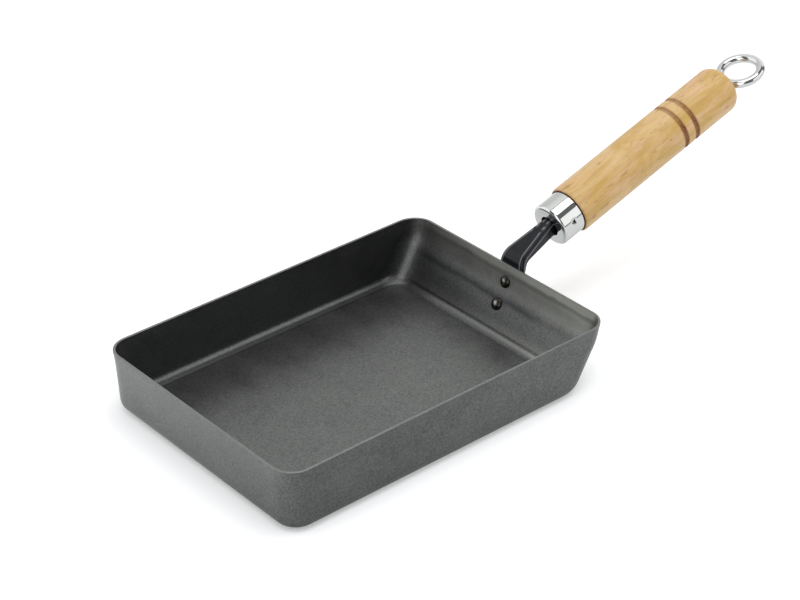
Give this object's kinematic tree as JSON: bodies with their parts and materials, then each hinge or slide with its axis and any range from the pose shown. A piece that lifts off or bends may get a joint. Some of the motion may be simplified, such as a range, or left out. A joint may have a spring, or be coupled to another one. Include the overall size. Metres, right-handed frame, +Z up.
{
  "type": "tamagoyaki pan",
  "caption": "Rectangular rolled-omelette pan: a pressed steel tray with one sloping wall, a riveted folded tang, and a turned wooden grip with a ferrule and a hanging ring.",
  "frame": {"origin": "centre of the tray's flat underside, at the middle of the rim's length and width", "axes": "+X from the plain end wall towards the grip, +Y across the tray, +Z up"},
  "size_m": [0.3414, 0.132, 0.0875],
  "materials": {
    "tray_steel": "dark grey heat-treated steel, satin",
    "black_steel": "glossy black enamel",
    "bright_plating": "polished chrome plating",
    "plain_steel": "zinc-plated steel",
    "varnished_wood": "clear varnish over pale wood"
  },
  "bodies": {
    "root": {"pan_body": "tray_steel", "handle_tang": "black_steel", "upper_rivet": "black_steel", "lower_rivet": "black_steel", "ferrule": "bright_plating", "tang_nut": "plain_steel", "wooden_grip": "varnished_wood", "ring_bolt": "bright_plating"}
  },
  "joints": []
}
